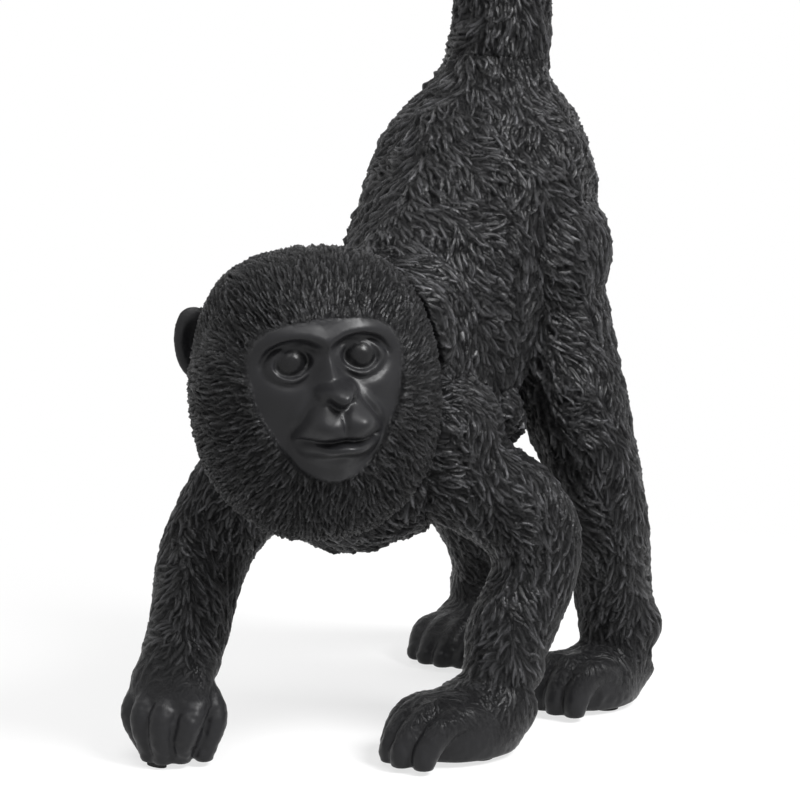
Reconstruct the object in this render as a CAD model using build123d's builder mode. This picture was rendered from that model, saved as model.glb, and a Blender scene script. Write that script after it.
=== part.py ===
"""Cast-resin monkey figurine, walking on all fours with its tail upright and its head turned left.

Frame: +Z up from the table, the monkey faces -Y and its left side is +X.
The origin is on the table, under the middle of the figure's box.
The pieces are seven castings, the steel pins and the rod that join them, and four felt pads.
"""

from build123d import *

import os
from math import cos, degrees, pi, radians, sin

# Steel pins and the tail's rod, and the felt pads under the hands and feet
pin_radius = 2.0
pin_clearance = 0.05
pin_inner_spread = 5.0
rod_radius = 2.5
rod_depth = 34.0
rod_reach = 38.0
pad_thickness = 1.2
pad_width = 7.0
fingertip_pad_width = 4.0
# Shares of the way from shoulder to elbow and from hip to knee that the pins reach
shoulder_pin_share = 0.45
hip_pin_share = 0.35
# Shares of the way from the head's middle into the chest where the neck's pin starts and ends
neck_pin_shares = (0.35, 1.50)
# The pads' places ahead of the heel as shares of the length, and the runs between their round ends
# as shares of the half width
palm_pad_shares = (0.36, 0.60)
fingertip_pad_shares = (0.395, 0.42)
foot_pad_shares = (0.46, 0.60)
# How far cutting shapes run past what they cut
overrun = 6.0
# How closely the figure's box is measured
box_tolerance = 0.05

# Torso: the spine runs from the chest, low in front, to the root of the tail, high behind
chest_front = -16.0
chest_height = 72.0
tail_root_back = 66.0
tail_root_height = 176.0
torso_half_width = 31.0
torso_half_depth = 31.0
tail_radius = 13.5
tail_rise = 52.0
tail_lean = 7.0
# Length of the torso's collar that is in line with the tail
tail_collar = 8.5
# Shares of the spine's run, of its rise, of the half width and of the half depth
spine_shares = [
    (0.00, 0.00, 0.42, 0.44),
    (0.15, 0.07, 0.80, 0.90),
    (0.36, 0.165, 0.92, 1.10),
    (0.58, 0.30, 0.86, 1.08),
    (0.79, 0.49, 0.95, 1.00),
    (0.925, 0.65, 1.00, 0.96),
    (0.98, 0.80, 0.89, 0.86),
]
# Shares of the half width and half depth at the collar
collar_shares = (0.59, 0.58)

# Arms: spread is from the midline, back is along the body and height is from the table
shoulder_spread = 18.0
shoulder_height = 84.0
left_shoulder_back = 18.0
right_shoulder_back = 4.0
elbow_spread = 33.0
elbow_height = 52.0
left_elbow_back = 42.0
right_elbow_back = -11.0
left_wrist_spread = 32.0
left_wrist_back = 30.0
left_wrist_height = 20.0
right_wrist_spread = 27.0
right_wrist_back = -28.0
right_wrist_height = 27.0
arm_radius = 12.0
# Shares of the arm's radius at the shoulder, upper arm, elbow, forearm and wrist
arm_shares = [1.40, 1.16, 1.00, 0.93, 0.84]

# Legs
hip_spread = 13.0
hip_height = 126.0
hip_back = 63.0
knee_spread = 31.0
knee_height = 68.0
left_knee_back = 70.0
right_knee_back = 78.0
left_ankle_spread = 28.0
right_ankle_spread = 34.0
ankle_height = 21.0
left_ankle_back = 86.0
right_ankle_back = 104.0
leg_radius = 13.0
# Shares of the leg's radius at the hip, thigh, knee, shin and ankle
leg_shares = [1.64, 1.21, 1.00, 0.86, 0.80]
# The balls at the ends of a limb or digit, as shares of its radius there
joint_ball_share = 1.06

# Hands and feet: the heel is behind the wrist or ankle, and the digits point along the heading
hand_length = 45.0
hand_half_width = 11.5
hand_half_height = 8.0
palm_heel = 6.0
foot_length = 38.0
foot_half_width = 11.5
foot_half_height = 9.0
foot_heel = 10.0
heel_radius = 8.5
finger_radius = 3.3
toe_radius = 3.5
thumb_radius = 3.3
left_hand_heading = (-0.28, -1.0)
right_hand_heading = (0.10, -1.0)
left_foot_heading = (-0.20, -1.0)
right_foot_heading = (0.10, -1.0)
# The back of a hand or foot, as shares of its length ahead, height, half width and half height
flat_palm_shares = [
    (0.06, 1.60, 0.86, 1.20),
    (0.24, 1.22, 1.00, 1.24),
    (0.42, 0.98, 1.04, 1.08),
    (0.58, 0.82, 0.98, 0.86),
]
raised_palm_shares = [
    (0.12, 3.60, 0.84, 1.10),
    (0.19, 2.95, 0.98, 1.02),
    (0.27, 2.30, 1.04, 0.84),
    (0.33, 1.75, 0.92, 0.56),
]
foot_shares = [
    (0.14, 1.70, 0.88, 1.20),
    (0.32, 1.12, 1.00, 1.16),
    (0.52, 0.84, 1.04, 0.96),
    (0.69, 0.68, 0.98, 0.74),
]
# Digits at root, knuckle and tip, as shares of the half width across, the length ahead and the half height
flat_finger_shares = [
    ((-0.76, 0.42, 1.10), (-0.80, 0.65, 1.18), (-0.70, 0.84, 0.38)),
    ((-0.26, 0.42, 1.26), (-0.27, 0.70, 1.34), (-0.23, 0.91, 0.38)),
    ((0.25, 0.42, 1.26), (0.26, 0.69, 1.34), (0.23, 0.90, 0.38)),
    ((0.75, 0.42, 1.10), (0.78, 0.62, 1.18), (0.68, 0.81, 0.38)),
]
raised_finger_shares = [
    ((-0.78, 0.24, 2.20), (-0.80, 0.36, 1.35), (-0.52, 0.33, 0.38)),
    ((-0.27, 0.26, 2.35), (-0.27, 0.43, 1.45), (-0.20, 0.41, 0.38)),
    ((0.25, 0.26, 2.35), (0.26, 0.43, 1.45), (0.19, 0.41, 0.38)),
    ((0.76, 0.24, 2.20), (0.76, 0.36, 1.35), (0.52, 0.33, 0.38)),
]
toe_shares = [
    ((-0.76, 0.52, 0.95), (-0.79, 0.71, 1.00), (-0.70, 0.87, 0.38)),
    ((-0.26, 0.52, 1.06), (-0.27, 0.75, 1.10), (-0.24, 0.92, 0.38)),
    ((0.25, 0.52, 1.06), (0.26, 0.74, 1.10), (0.24, 0.91, 0.38)),
    ((0.75, 0.52, 0.95), (0.77, 0.68, 1.00), (0.68, 0.84, 0.38)),
]
# Thumbs and big toes, in the same shares, on the inner side
flat_thumb_shares = ((0.60, 0.22, 0.80), (1.12, 0.40, 0.60), (1.18, 0.58, 0.38))
raised_thumb_shares = ((0.62, 0.16, 2.50), (0.98, 0.17, 1.40), (0.90, 0.22, 0.42))
big_toe_shares = ((0.55, 0.34, 0.80), (1.06, 0.50, 0.62), (1.14, 0.68, 0.40))
# A digit's radii at its root, knuckle and tip
digit_shares = [1.02, 1.06, 0.90]

# Head: its own axes are X to its left, Y up and Z out of the face
head_left = 10.5
head_back = -19.5
head_height = 103.0
head_turn = 51.0
head_nod = 2.0
head_roll = 5.0
head_half_width = 31.0
head_half_depth = 26.0
crown_height = 31.0
beard_drop = 41.0
# Shares of the crown's height, or below zero of the beard's drop, of the half width and of the half depth
head_shares = [
    (-1.00, 0.18, 0.18),
    (-0.93, 0.48, 0.48),
    (-0.74, 0.76, 0.76),
    (-0.48, 0.94, 0.92),
    (-0.20, 1.00, 1.00),
    (0.12, 0.99, 1.00),
    (0.46, 0.91, 0.94),
    (0.75, 0.74, 0.76),
    (0.93, 0.47, 0.48),
    (1.00, 0.18, 0.18),
]

# Face, in the head's own axes: fronts are how far a form reaches out of the face
face_half_width = 19.0
face_half_height = 20.0
face_inset = 1.8
brow_half_width = 15.5
brow_half_height = 4.2
brow_depth = 6.5
brow_height = 14.5
brow_front = 26.6
bridge_half_width = 4.0
bridge_half_height = 8.5
bridge_depth = 8.0
bridge_height = 5.5
bridge_front = 29.0
socket_half_width = 6.6
socket_half_height = 5.2
socket_depth = 3.6
eye_spread = 8.3
eye_height = 8.0
eye_radius = 4.2
eye_front = 25.4
muzzle_half_width = 12.5
muzzle_half_height = 10.5
muzzle_depth = 16.0
muzzle_height = -8.0
muzzle_front = 34.0
nose_half_width = 3.8
nose_half_height = 3.2
nose_depth = 3.6
nose_height = 0.0
nose_front = 35.6
nostril_radius = 0.9
nostril_spread = 1.8
nostril_height = -1.4
mouth_height = -11.0
mouth_radius = 0.8
mouth_start = 35.0
ear_half_height = 9.0
ear_half_width = 6.5
ear_thickness = 2.4
ear_reach = 32.5
ear_height = 8.0
ear_back = -15.0
# The ear's hollow as shares of its half width, half height and thickness
ear_hollow_shares = (0.70, 0.74, 0.90)

# Tail's curl, which turns back over itself; its tip as shares of the tail's radius and of the curl's
curl_radius = 23.0
curl_turn = 270.0
tail_tip_share = 0.36
curl_tip_share = 0.56
# The tip's dome as shares of the tip's radius ahead and across
tail_dome_shares = [(0.50, 0.86), (0.85, 0.45)]
tail_rise_steps = 5
tail_curl_steps = 10

across = Vector(1, 0, 0)
up = Vector(0, 0, 1)


def along(start, end, share):
    """The point at that share of the way from start to end."""
    return start + (end - start) * share


def directions(points):
    """Unit directions of a path at each of its points."""
    last = len(points) - 1
    return [(points[min(i + 1, last)] - points[max(i - 1, 0)]).normalized() for i in range(last + 1)]


def tube(points, halves, side):
    """A loft through ellipses centred on the points, each (half across side, half the other way)."""
    with BuildPart() as body:
        for point, direction, (half_x, half_y) in zip(points, directions(points), halves):
            x_dir = side - direction * side.dot(direction)
            with BuildSketch(Plane(origin=point, x_dir=x_dir, z_dir=direction)):
                Ellipse(half_x, half_y)
        loft()
    return body.part


def ellipsoid(plane, centre, halves):
    """An ellipsoid whose centre and half axes are given in the plane's own axes."""
    half_x, half_y, half_z = halves
    with BuildPart() as body:
        Sphere(half_z)
        scale(by=(half_x / half_z, half_y / half_z, 1))
    return body.part.moved(plane.location * Location(centre))


def rod(start, end, radius):
    with BuildPart() as body:
        with BuildSketch(Plane(origin=start, z_dir=end - start)):
            Circle(radius)
        extrude(amount=(end - start).length)
    return body.part


def bore(start, end, radius):
    """The hole for a rod: wider and longer than it by the pins' clearance."""
    spare = (end - start).normalized() * pin_clearance
    return rod(start - spare, end + spare, radius + pin_clearance)


def digit(root, knuckle, tip, radius):
    """A finger or toe that bends at its knuckle and ends in a ball."""
    radii = [radius * share for share in digit_shares]
    with BuildPart() as body:
        add(tube([root, knuckle, tip], [(half, half) for half in radii], across))
        with Locations(tip):
            Sphere(radii[-1] * joint_ball_share)
    return body.part


def sole(joint, heel, heading):
    """A level plane on the table, with its origin under the heel, Y ahead and X to the right."""
    ahead = Vector(*heading).normalized()
    start = Vector(joint.X, joint.Y, 0) - ahead * heel
    return Plane(origin=start, x_dir=ahead.cross(up), z_dir=up)


def limb(root, joint, end, radius, radius_shares):
    """An arm or leg from its ball at the shoulder or hip to its ball at the wrist or ankle."""
    radii = [radius * share for share in radius_shares]
    points = [root, (root + joint) / 2, joint, (joint + end) / 2, end]
    with BuildPart() as body:
        add(tube(points, [(half, half) for half in radii], across))
        for point, half in ((root, radii[0]), (end, radii[-1])):
            with Locations(point):
                Sphere(half * joint_ball_share)
    return body.part


def palm(plane, size, back_shares):
    """The back of a hand or foot, from the wrist or ankle to the knuckles."""
    length, half_width, half_height = size
    points = [plane.from_local_coords(Vector(0, length * y, half_height * z)) for y, z, _, _ in back_shares]
    halves = [(half_width * wide, half_height * thick) for _, _, wide, thick in back_shares]
    return tube(points, halves, plane.x_dir)


def digits(plane, size, radius, table, inner_side, inner_shares):
    """Four digits from the table of shares, then the thumb or big toe on the inner side."""
    length, half_width, half_height = size
    rows = [*table, [(inner_side * place, ahead, high) for place, ahead, high in inner_shares]]
    radii = [radius] * len(table) + [thumb_radius]
    made = []
    for row, digit_radius in zip(rows, radii):
        bends = [Vector(half_width * x, length * y, half_height * z) for x, y, z in row]
        made.append(digit(*(plane.from_local_coords(bend) for bend in bends), digit_radius))
    return made


def pad(plane, size, shares, width):
    """A felt pad with round ends that lies across the sole."""
    length, half_width, _ = size
    ahead, run = shares
    centre = plane.from_local_coords(Vector(0, length * ahead, 0))
    with BuildPart() as body:
        with BuildSketch(Plane(origin=centre, x_dir=plane.x_dir, z_dir=up)):
            SlotCenterToCenter(half_width * run, width)
        extrude(amount=pad_thickness)
    return body.part


def skull(inset):
    """The head's fur-covered form, or the bare form that lies that far under it."""
    points = [
        head_plane.from_local_coords(Vector(0, (crown_height if share > 0 else beard_drop) * share, 0))
        for share, _, _ in head_shares
    ]
    bare_width = head_half_width - inset
    bare_depth = head_half_depth - inset
    halves = [(bare_width * wide, bare_depth * deep) for _, wide, deep in head_shares]
    return tube(points, halves, head_plane.x_dir)


def ear_form(side):
    """An ear before its hollow is cut."""
    centre = Vector(side * (ear_reach - ear_half_width), ear_height, ear_back)
    return ellipsoid(head_plane, centre, (ear_half_width, ear_half_height, ear_thickness))


def ear_hollow(side):
    """The hollow in the front of an ear."""
    centre = Vector(side * (ear_reach - ear_half_width), ear_height, ear_back + ear_thickness)
    wide, high, deep = ear_hollow_shares
    halves = (ear_half_width * wide, ear_half_height * high, ear_thickness * deep)
    return ellipsoid(head_plane, centre, halves)


# Places of the joints
tail_direction = Vector(0, tail_lean, tail_rise).normalized()
tail_root = Vector(0, tail_root_back, tail_root_height)
torso_spine = [
    Vector(
        0,
        chest_front + (tail_root_back - chest_front) * run,
        chest_height + (tail_root_height - chest_height) * rise,
    )
    for run, rise, _, _ in spine_shares
] + [tail_root - tail_direction * tail_collar, tail_root]
torso_halves = [(torso_half_width * wide, torso_half_depth * deep) for _, _, wide, deep in spine_shares] + [
    (torso_half_width * collar_shares[0], torso_half_depth * collar_shares[1]),
    (tail_radius, tail_radius),
]
left_shoulder = Vector(shoulder_spread, left_shoulder_back, shoulder_height)
left_elbow = Vector(elbow_spread, left_elbow_back, elbow_height)
left_wrist = Vector(left_wrist_spread, left_wrist_back, left_wrist_height)
right_shoulder = Vector(-shoulder_spread, right_shoulder_back, shoulder_height)
right_elbow = Vector(-elbow_spread, right_elbow_back, elbow_height)
right_wrist = Vector(-right_wrist_spread, right_wrist_back, right_wrist_height)
left_hip = Vector(hip_spread, hip_back, hip_height)
left_knee = Vector(knee_spread, left_knee_back, knee_height)
left_ankle = Vector(left_ankle_spread, left_ankle_back, ankle_height)
right_hip = Vector(-hip_spread, hip_back, hip_height)
right_knee = Vector(-knee_spread, right_knee_back, knee_height)
right_ankle = Vector(-right_ankle_spread, right_ankle_back, ankle_height)

hand_size = (hand_length, hand_half_width, hand_half_height)
foot_size = (foot_length, foot_half_width, foot_half_height)
left_palm = sole(left_wrist, palm_heel, left_hand_heading)
right_palm = sole(right_wrist, palm_heel, right_hand_heading)
left_foot = sole(left_ankle, foot_heel, left_foot_heading)
right_foot = sole(right_ankle, foot_heel, right_foot_heading)

turn = radians(head_turn)
nod = radians(head_nod)
roll = radians(head_roll)
facing = Vector(sin(turn) * cos(nod), -cos(turn) * cos(nod), -sin(nod))
level_left = Vector(cos(turn), sin(turn), 0)
head_plane = Plane(
    origin=(head_left, head_back, head_height),
    x_dir=level_left * cos(roll) + facing.cross(level_left) * sin(roll),
    z_dir=facing,
)

# Pins and rod: the two ends of each
head_middle = head_plane.origin
neck_ends = [along(head_middle, torso_spine[2], share) for share in neck_pin_shares]
left_shoulder_ends = [
    Vector(pin_inner_spread, left_shoulder_back, shoulder_height),
    along(left_shoulder, left_elbow, shoulder_pin_share),
]
right_shoulder_ends = [
    Vector(-pin_inner_spread, right_shoulder_back, shoulder_height),
    along(right_shoulder, right_elbow, shoulder_pin_share),
]
left_hip_ends = [
    Vector(pin_inner_spread, hip_back, hip_height),
    along(left_hip, left_knee, hip_pin_share),
]
right_hip_ends = [
    Vector(-pin_inner_spread, hip_back, hip_height),
    along(right_hip, right_knee, hip_pin_share),
]
rod_ends = [tail_root - tail_direction * rod_depth, tail_root + tail_direction * rod_reach]

with BuildPart() as neck_pin:
    add(rod(*neck_ends, pin_radius))
with BuildPart() as left_shoulder_pin:
    add(rod(*left_shoulder_ends, pin_radius))
with BuildPart() as right_shoulder_pin:
    add(rod(*right_shoulder_ends, pin_radius))
with BuildPart() as left_hip_pin:
    add(rod(*left_hip_ends, pin_radius))
with BuildPart() as right_hip_pin:
    add(rod(*right_hip_ends, pin_radius))
with BuildPart() as tail_rod:
    add(rod(*rod_ends, rod_radius))

# Felt pads
with BuildPart() as left_hand_pad:
    add(pad(left_palm, hand_size, palm_pad_shares, pad_width))
with BuildPart() as right_hand_pad:
    add(pad(right_palm, hand_size, fingertip_pad_shares, fingertip_pad_width))
with BuildPart() as left_foot_pad:
    add(pad(left_foot, foot_size, foot_pad_shares, pad_width))
with BuildPart() as right_foot_pad:
    add(pad(right_foot, foot_size, foot_pad_shares, pad_width))

# Head: the bare face lies a little under the fur that frames it
with BuildPart() as mouth:
    lip_share = (1 - ((mouth_height - muzzle_height) / muzzle_half_height) ** 2) ** 0.5
    lip_plane = Plane(
        origin=head_plane.from_local_coords(Vector(0, mouth_height, muzzle_front - muzzle_depth)),
        x_dir=head_plane.x_dir,
        z_dir=-head_plane.y_dir,
    )
    with BuildLine(lip_plane) as lip:
        EllipticalCenterArc(
            (0, 0),
            muzzle_half_width * lip_share,
            muzzle_depth * lip_share,
            start_angle=mouth_start,
            arc_size=degrees(pi) - mouth_start - mouth_start,
        )
    with BuildSketch(Plane(origin=lip.line @ 0, z_dir=lip.line % 0)):
        Circle(mouth_radius)
    sweep(path=lip.line)

with BuildPart() as head:
    add(skull(0))
    with BuildSketch(head_plane):
        Ellipse(face_half_width, face_half_height)
    extrude(amount=head_half_depth + overrun, mode=Mode.SUBTRACT)
    add(skull(face_inset))
    add(
        ellipsoid(
            head_plane,
            (0, brow_height, brow_front - brow_depth),
            (brow_half_width, brow_half_height, brow_depth),
        )
    )
    add(
        ellipsoid(
            head_plane,
            (0, bridge_height, bridge_front - bridge_depth),
            (bridge_half_width, bridge_half_height, bridge_depth),
        )
    )
    for side in (1, -1):
        add(
            ellipsoid(
                head_plane,
                (side * eye_spread, eye_height, eye_front),
                (socket_half_width, socket_half_height, socket_depth),
            ),
            mode=Mode.SUBTRACT,
        )
        eye_middle = Vector(side * eye_spread, eye_height, eye_front - eye_radius)
        with Locations(head_plane.from_local_coords(eye_middle)):
            Sphere(eye_radius)
    add(
        ellipsoid(
            head_plane,
            (0, muzzle_height, muzzle_front - muzzle_depth),
            (muzzle_half_width, muzzle_half_height, muzzle_depth),
        )
    )
    add(
        ellipsoid(
            head_plane,
            (0, nose_height, nose_front - nose_depth),
            (nose_half_width, nose_half_height, nose_depth),
        )
    )
    add(mouth.part, mode=Mode.SUBTRACT)
    for side in (1, -1):
        nostril = Vector(side * nostril_spread, nostril_height, nose_front)
        with Locations(head_plane.from_local_coords(nostril)):
            Sphere(nostril_radius, mode=Mode.SUBTRACT)
        add(ear_form(side) - ear_hollow(side))
    add(bore(*neck_ends, pin_radius), mode=Mode.SUBTRACT)

# Torso: the limbs are fitted to its whole form, and then the ruff's hollow and the bores are cut in it
trunk = tube(torso_spine, torso_halves, across)
with BuildPart() as torso:
    add(trunk)
    add(skull(0), mode=Mode.SUBTRACT)
    for side in (1, -1):
        add(ear_form(side), mode=Mode.SUBTRACT)
    add(bore(*neck_ends, pin_radius), mode=Mode.SUBTRACT)
    add(bore(*left_shoulder_ends, pin_radius), mode=Mode.SUBTRACT)
    add(bore(*right_shoulder_ends, pin_radius), mode=Mode.SUBTRACT)
    add(bore(*left_hip_ends, pin_radius), mode=Mode.SUBTRACT)
    add(bore(*right_hip_ends, pin_radius), mode=Mode.SUBTRACT)
    add(bore(*rod_ends, rod_radius), mode=Mode.SUBTRACT)

pad_top = Plane.XY.offset(pad_thickness)
# Arms: the left hand lies flat and the right one stands on its fingertips
with BuildPart() as left_arm:
    add(limb(left_shoulder, left_elbow, left_wrist, arm_radius, arm_shares))
    add(palm(left_palm, hand_size, flat_palm_shares))
    inner_side = 1
    for finger in digits(
        left_palm, hand_size, finger_radius, flat_finger_shares, inner_side, flat_thumb_shares
    ):
        add(finger)
    split(bisect_by=pad_top, keep=Keep.TOP)
    add(trunk, mode=Mode.SUBTRACT)
    add(skull(0), mode=Mode.SUBTRACT)
    add(bore(*left_shoulder_ends, pin_radius), mode=Mode.SUBTRACT)

with BuildPart() as right_arm:
    add(limb(right_shoulder, right_elbow, right_wrist, arm_radius, arm_shares))
    add(palm(right_palm, hand_size, raised_palm_shares))
    inner_side = -1
    for finger in digits(
        right_palm, hand_size, finger_radius, raised_finger_shares, inner_side, raised_thumb_shares
    ):
        add(finger)
    split(bisect_by=pad_top, keep=Keep.TOP)
    add(trunk, mode=Mode.SUBTRACT)
    add(skull(0), mode=Mode.SUBTRACT)
    add(bore(*right_shoulder_ends, pin_radius), mode=Mode.SUBTRACT)

# Legs: each one stops at the midline behind the rump
with BuildPart() as left_leg:
    add(limb(left_hip, left_knee, left_ankle, leg_radius, leg_shares))
    add(palm(left_foot, foot_size, foot_shares))
    inner_side = 1
    for toe in digits(left_foot, foot_size, toe_radius, toe_shares, inner_side, big_toe_shares):
        add(toe)
    with Locations(left_foot.from_local_coords(Vector(0, heel_radius, heel_radius))):
        Sphere(heel_radius)
    split(bisect_by=pad_top, keep=Keep.TOP)
    split(bisect_by=Plane.YZ, keep=Keep.TOP)
    add(trunk, mode=Mode.SUBTRACT)
    add(bore(*left_hip_ends, pin_radius), mode=Mode.SUBTRACT)

with BuildPart() as right_leg:
    add(limb(right_hip, right_knee, right_ankle, leg_radius, leg_shares))
    add(palm(right_foot, foot_size, foot_shares))
    inner_side = -1
    for toe in digits(right_foot, foot_size, toe_radius, toe_shares, inner_side, big_toe_shares):
        add(toe)
    with Locations(right_foot.from_local_coords(Vector(0, heel_radius, heel_radius))):
        Sphere(heel_radius)
    split(bisect_by=pad_top, keep=Keep.TOP)
    split(bisect_by=Plane.YZ, keep=Keep.BOTTOM)
    add(trunk, mode=Mode.SUBTRACT)
    add(bore(*right_hip_ends, pin_radius), mode=Mode.SUBTRACT)

# Tail
curl_start = tail_root + Vector(0, tail_lean, tail_rise)
curl_centre = curl_start + Vector(0, curl_radius, 0)
tail_points = [along(tail_root, curl_start, step / tail_rise_steps) for step in range(tail_rise_steps)]
for step in range(tail_curl_steps + 1):
    share = step / tail_curl_steps
    angle = pi - radians(curl_turn) * share
    tail_points.append(
        curl_centre + Vector(0, cos(angle), sin(angle)) * curl_radius * (1 - (1 - curl_tip_share) * share)
    )
last = len(tail_points) - 1
tail_radii = [tail_radius * (1 - (1 - tail_tip_share) * step / last) for step in range(last + 1)]
tip_direction = (tail_points[-1] - tail_points[-2]).normalized()
tip = tail_points[-1]
tip_radius = tail_radii[-1]
for ahead, wide in tail_dome_shares:
    tail_points.append(tip + tip_direction * tip_radius * ahead)
    tail_radii.append(tip_radius * wide)
with BuildPart() as tail:
    add(tube(tail_points, [(radius, radius) for radius in tail_radii], across))
    add(bore(*rod_ends, rod_radius), mode=Mode.SUBTRACT)

# Every piece is moved so that the origin is under the middle of the figure's box
pieces = {
    "torso": torso,
    "head": head,
    "tail": tail,
    "left_arm": left_arm,
    "right_arm": right_arm,
    "left_leg": left_leg,
    "right_leg": right_leg,
    "neck_pin": neck_pin,
    "left_shoulder_pin": left_shoulder_pin,
    "right_shoulder_pin": right_shoulder_pin,
    "left_hip_pin": left_hip_pin,
    "right_hip_pin": right_hip_pin,
    "tail_rod": tail_rod,
    "left_hand_pad": left_hand_pad,
    "right_hand_pad": right_hand_pad,
    "left_foot_pad": left_foot_pad,
    "right_foot_pad": right_foot_pad,
}
corners = [corner for piece in pieces.values() for corner in piece.part.tessellate(box_tolerance)[0]]
middle_x = (min(corner.X for corner in corners) + max(corner.X for corner in corners)) / 2
middle_y = (min(corner.Y for corner in corners) + max(corner.Y for corner in corners)) / 2
print("moved by", -middle_x, -middle_y)
os.makedirs("parts", exist_ok=True)
for name, piece in pieces.items():
    moved = piece.part.moved(Location((-middle_x, -middle_y, 0)))
    moved.label = name
    export_step(moved, f"parts/{name}.step")
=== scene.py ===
# %% [markdown]
# # A cast-resin monkey with sculpted fur
# The figurine is a rigid ornament: castings that are pinned together, filled at the seams and painted
# black. The castings come in as plain solids. This lesson turns copies of them into a skin, models the
# face, combs thousands of fur tufts over the skin and cuts it up again, so that each casting stays a
# piece of its own.

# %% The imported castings
import math
import bmesh
import bpy
import numpy as np
from mathutils import Matrix, Vector, noise
from mathutils.bvhtree import BVHTree
from mathutils.kdtree import KDTree


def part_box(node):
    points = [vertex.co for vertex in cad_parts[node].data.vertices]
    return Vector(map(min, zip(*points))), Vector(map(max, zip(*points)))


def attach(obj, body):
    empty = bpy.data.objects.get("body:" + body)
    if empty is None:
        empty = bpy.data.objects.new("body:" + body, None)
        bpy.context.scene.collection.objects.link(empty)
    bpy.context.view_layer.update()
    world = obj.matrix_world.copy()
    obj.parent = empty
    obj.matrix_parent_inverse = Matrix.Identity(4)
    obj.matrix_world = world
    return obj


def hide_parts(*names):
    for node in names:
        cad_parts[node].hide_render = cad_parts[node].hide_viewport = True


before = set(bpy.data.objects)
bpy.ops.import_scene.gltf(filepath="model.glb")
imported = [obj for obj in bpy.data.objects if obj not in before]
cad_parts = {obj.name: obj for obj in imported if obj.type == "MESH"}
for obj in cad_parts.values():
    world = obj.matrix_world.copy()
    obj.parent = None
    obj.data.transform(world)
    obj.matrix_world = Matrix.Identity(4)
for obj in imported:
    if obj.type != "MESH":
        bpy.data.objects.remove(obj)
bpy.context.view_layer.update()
scene = bpy.context.scene
scene.view_settings.view_transform = "Standard"

# %% [markdown]
# The camera stands in front of the monkey's left shoulder, a little above the table, and far enough away
# for a long lens. It is set first, because every later choice is judged from there.

# %% Camera
MM = 0.001
EYE = Vector((496.959, -601.167, 225.2)) * MM
AIM = Vector((22.159, -35.367, 95.0)) * MM
camera = bpy.data.objects.new("camera", bpy.data.cameras.new("camera"))
scene.collection.objects.link(camera)
camera.data.lens = 135.0
camera.data.sensor_width = 36.0
camera.location = EYE
camera.rotation_euler = (AIM - EYE).to_track_quat("-Z", "Y").to_euler()
scene.camera = camera
print("camera", (EYE - AIM).length)

# %% [markdown]
# A casting's mesh is loose triangles, so a copy of it is merged before anything else. The body's copies
# are then joined and remeshed with small voxels. That makes one even skin over all the joints, as the
# filled seams of the real figure are. The head is remeshed alone, with finer voxels, because its ruff
# ends in an edge of its own.

# %% Skins from the castings
BODY = ["torso", "tail", "left_arm", "right_arm", "left_leg", "right_leg"]
BODY_VOXEL, HEAD_VOXEL, FACE_VOXEL = 0.52 * MM, 0.5 * MM, 0.37 * MM


def merged_copy(node):
    bm = bmesh.new()
    bm.from_mesh(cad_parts[node].data)
    bmesh.ops.remove_doubles(bm, verts=bm.verts, dist=1e-6)
    return bm


def held(mesh):
    """A short-lived object that carries the mesh, for modifiers."""
    holder = bpy.data.objects.new("holder", mesh)
    scene.collection.objects.link(holder)
    return holder


def applied(holder):
    """The holder's mesh with its modifiers applied. The holder is taken away."""
    bpy.context.view_layer.update()
    shown = holder.evaluated_get(bpy.context.evaluated_depsgraph_get())
    result = bpy.data.meshes.new_from_object(shown)
    bpy.data.objects.remove(holder)
    return result


def remeshed(mesh, voxel, rounds):
    """The mesh as an even skin of that voxel size, smoothed that many rounds."""
    holder = held(mesh)
    skin = holder.modifiers.new("skin", "REMESH")
    skin.mode = "VOXEL"
    skin.voxel_size = voxel
    ease = holder.modifiers.new("ease", "SMOOTH")
    ease.factor = 0.5
    ease.iterations = rounds
    return applied(holder)


def joined(nodes):
    whole = bpy.data.meshes.new("whole")
    bm = bmesh.new()
    for node in nodes:
        part = merged_copy(node)
        part.to_mesh(whole)
        bm.from_mesh(whole)
        part.free()
    bm.to_mesh(whole)
    bm.free()
    return whole


def places(mesh):
    table = np.empty(len(mesh.vertices) * 3)
    mesh.vertices.foreach_get("co", table)
    return table.reshape(-1, 3)


def normals(mesh):
    table = np.empty(len(mesh.vertices) * 3)
    mesh.vertex_normals.foreach_get("vector", table)
    return table.reshape(-1, 3)


def put(mesh, table):
    mesh.vertices.foreach_set("co", table.ravel())
    mesh.update()


print("castings in the body skin", len(BODY))

# %% [markdown]
# Balls of clay fill the hollows that the plain castings leave: under the palms and soles, behind the ruff
# and in the groin. They are flattened at the sole, so that the felt still shows under them.

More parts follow.
